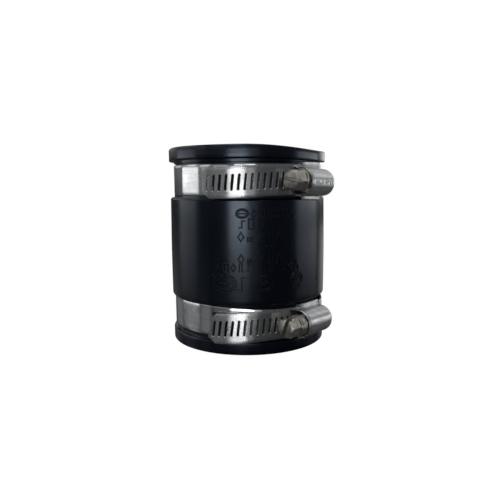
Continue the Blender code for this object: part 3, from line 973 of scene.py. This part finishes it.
def plated_steel():
    """The screws' dull plating, slightly olive and worn brighter in places."""
    made, tree, shader = node_tree("plated_screw_steel")
    shader.inputs["Metallic"].default_value = 1
    cloud = noise_node(tree, 500, 6, roughness=0.6)
    colour = ramp(tree, cloud.outputs["Fac"], [
        (0.3, (0.30, 0.29, 0.26)), (0.55, (0.46, 0.45, 0.41)), (0.75, (0.64, 0.63, 0.59))])
    tree.links.new(colour.outputs["Color"], shader.inputs["Base Color"])
    gloss = spread(tree, noise_node(tree, 800, 4).outputs["Fac"], 0.32, 0.5)
    tree.links.new(gloss.outputs["Result"], shader.inputs["Roughness"])
    bump(tree, noise_node(tree, 1800, 5).outputs["Fac"], 0.2, shader)
    return made


def stamp_finish():
    made, tree, shader = node_tree("stamped_marks")
    shader.inputs["Metallic"].default_value = 0.8
    shade = noise_node(tree, 900, 3)
    colour = ramp(tree, shade.outputs["Fac"], [(0.3, (0.03, 0.03, 0.032)), (0.7, (0.06, 0.06, 0.065))])
    tree.links.new(colour.outputs["Color"], shader.inputs["Base Color"])
    shader.inputs["Roughness"].default_value = 0.6
    return made


# Soft boxes: azimuth and elevation in degrees, width and height in metres, power in watts.
LAMP_DISTANCE = 1.0
LAMPS = {
    "front": ((-12.5, 1.2, 0.44, 0.12, 0.95), (7.5, 3, 0.26, 0.12, 0.09), (-12.5, 30, 0.22, 0.4, 0.36)),
    "left": ((-97.5, 2.4, 0.7, 0.13, 0.39), (-97.5, 12, 0.7, 0.24, 0.1), (-97.5, 30, 0.35, 0.4, 0.8)),
    "right": ((98, 2.6, 0.84, 0.12, 0.68), (112, 30, 0.26, 0.4, 0.4)),
    "fill": ((-40, 14, 0.4, 0.24, 0.1), (-67, 20, 0.3, 0.5, 0.23)),
    "high": ((-45, 65, 0.5, 0.4, 1.83), (0, 65, 0.5, 0.4, 0.97), (135, 65, 0.5, 0.4, 0.22)),
    "back": ((145, 30, 0.5, 0.4, 0.35), (145, 6, 0.5, 0.2, 0.45), (-135, 22, 0.5, 0.6, 0.41),
             (180, 12, 0.5, 0.24, 0.15)),
}


def area_light(name, azimuth, elevation, width, height, power, target):
    """A soft box at an azimuth from -Y towards +X, facing the target."""
    lamp = bpy.data.lights.new(name, "AREA")
    lamp.shape = "RECTANGLE"
    lamp.size, lamp.size_y = width, height
    lamp.energy = power
    obj = bpy.data.objects.new(name, lamp)
    bpy.context.scene.collection.objects.link(obj)
    a, e = math.radians(azimuth), math.radians(elevation)
    out = Vector((math.sin(a) * math.cos(e), -math.cos(a) * math.cos(e), math.sin(e)))
    obj.location = target + out * LAMP_DISTANCE
    obj.rotation_euler = (-out).to_track_quat("-Z", "Y").to_euler()
    obj.visible_camera = False


def seen_by_camera(tree, seen, otherwise, output):
    """Joins the shader seen by the camera and the one seen in reflections."""
    path = tree.nodes.new("ShaderNodeLightPath")
    mix = tree.nodes.new("ShaderNodeMixShader")
    tree.links.new(path.outputs["Is Camera Ray"], mix.inputs["Fac"])
    tree.links.new(otherwise, mix.inputs[1])
    tree.links.new(seen, mix.inputs[2])
    tree.links.new(mix.outputs["Shader"], output.inputs["Surface"])


def build_stage(target):
    """A floor and a world that are white to the camera and dim in reflections, and the lamps."""
    floor_mesh = bpy.data.meshes.new("floor")
    bm = bmesh.new()
    bmesh.ops.create_grid(bm, x_segments=1, y_segments=1, size=6)
    bm.to_mesh(floor_mesh)
    bm.free()
    made, tree, shader = node_tree("pale_floor")
    shader.inputs["Base Color"].default_value = (0.03, 0.03, 0.03, 1)
    shader.inputs["Roughness"].default_value = 0.22
    shader.inputs["Specular IOR Level"].default_value = 1.0
    glow = tree.nodes.new("ShaderNodeEmission")
    glow.inputs["Color"].default_value = (1, 1, 1, 1)
    glow.inputs["Strength"].default_value = 1.0
    seen_by_camera(tree, glow.outputs["Emission"], shader.outputs["BSDF"], tree.nodes["Material Output"])
    floor = add_object("floor", floor_mesh, made)

    world = bpy.data.worlds.new("studio")
    bpy.context.scene.world = world
    world.use_nodes = True
    tree = world.node_tree
    white, dim = tree.nodes["Background"], tree.nodes.new("ShaderNodeBackground")
    white.inputs["Color"].default_value = (1, 1, 1, 1)
    dim.inputs["Color"].default_value = (0.93, 0.96, 1, 1)
    dim.inputs["Strength"].default_value = 0.1
    seen_by_camera(tree, white.outputs["Background"], dim.outputs["Background"], tree.nodes["World Output"])

    for name, lamps in LAMPS.items():
        for index, (azimuth, elevation, width, height, power) in enumerate(lamps):
            area_light(f"{name}_light_{index}", azimuth, elevation, width, height, power, target)


# The photograph's camera, fitted to the object's outline: metres, radians and millimetres of lens.
CAMERA_DISTANCE = 0.2555668
CAMERA_HEIGHT = 0.0749084
CAMERA_TILT = 0.1331
CAMERA_ROLL = -0.0092
CAMERA_LENS = 38.486
CAMERA_SENSOR = 36
CAMERA_SHIFT = 0.0045748
LAMP_TARGET_HEIGHT = 0.045


def build_camera(axis):
    camera = bpy.data.cameras.new("camera")
    obj = bpy.data.objects.new("camera", camera)
    bpy.context.scene.collection.objects.link(obj)
    obj.location = (axis.x, axis.y - CAMERA_DISTANCE, CAMERA_HEIGHT)
    aim = Matrix.Rotation(math.pi / 2 - CAMERA_TILT, 4, "X") @ Matrix.Rotation(CAMERA_ROLL, 4, "Z")
    obj.rotation_euler = aim.to_euler()
    camera.lens = CAMERA_LENS
    camera.sensor_width = CAMERA_SENSOR
    camera.shift_x = CAMERA_SHIFT
    bpy.context.scene.camera = obj


def main():
    finishes = {
        "rubber": rubber("moulded_rubber", 0.21, 0.25),
        "marks": rubber("moulded_marks", 0.40, 0.46),
        "strip": steel("rolled_steel", (0.60, 0.61, 0.62), (0.70, 0.71, 0.72), 0.27),
        "smooth": steel("smooth_rolled_steel", (0.68, 0.69, 0.70), (0.80, 0.81, 0.83), 0.16, 0.05),
        # Near-black steel: painted shade on the strip's hidden end, seen through the tail's slots.
        "painted_shade": steel("rolled_steel_painted_dark", (0.05, 0.05, 0.05), (0.1, 0.1, 0.1), 0.45, 0.05),
        "pressed": pressed_steel(),
        "plated": plated_steel(),
        "stamp": stamp_finish(),
    }
    build_sleeve(finishes["rubber"])
    build_sleeve_marks(finishes["marks"])
    for side, lie in CLAMPS.items():
        place = clamp_frame(side)
        band = build_band(side, lie, finishes["strip"], finishes["smooth"], finishes["painted_shade"])
        pieces = (
            (band, "_band", "stainless_steel", ["_band"]),
            (build_housing(side, lie["sag"], finishes["pressed"]), "_clamp", "stainless_steel", ["_housing"]),
            (build_screw(side, lie, finishes["plated"]), "_screw", "plated_screw_steel", ["_screw"]),
        )
        for piece, body, slot, nodes in pieces:
            piece.data.transform(place)
            finish_piece(piece, side + body, slot, *[side + node for node in nodes])
        saddle = frame["nodes"][side + "_saddle"]
        saddle.data.materials.clear()
        saddle.data.materials.append(finishes["pressed"])
    marks = crown_marks("upper", CLAMPS["upper"]["sag"], finishes["stamp"])
    marks.data.transform(clamp_frame("upper"))
    finish_piece(marks, "upper_clamp", "stainless_steel")

    axis = Vector(JOINTS["upper_clamp_turn"]["pos_m"])
    build_stage(Vector((axis.x, axis.y, LAMP_TARGET_HEIGHT)))
    build_camera(axis)
    bpy.context.scene.view_settings.view_transform = "Standard"


main()
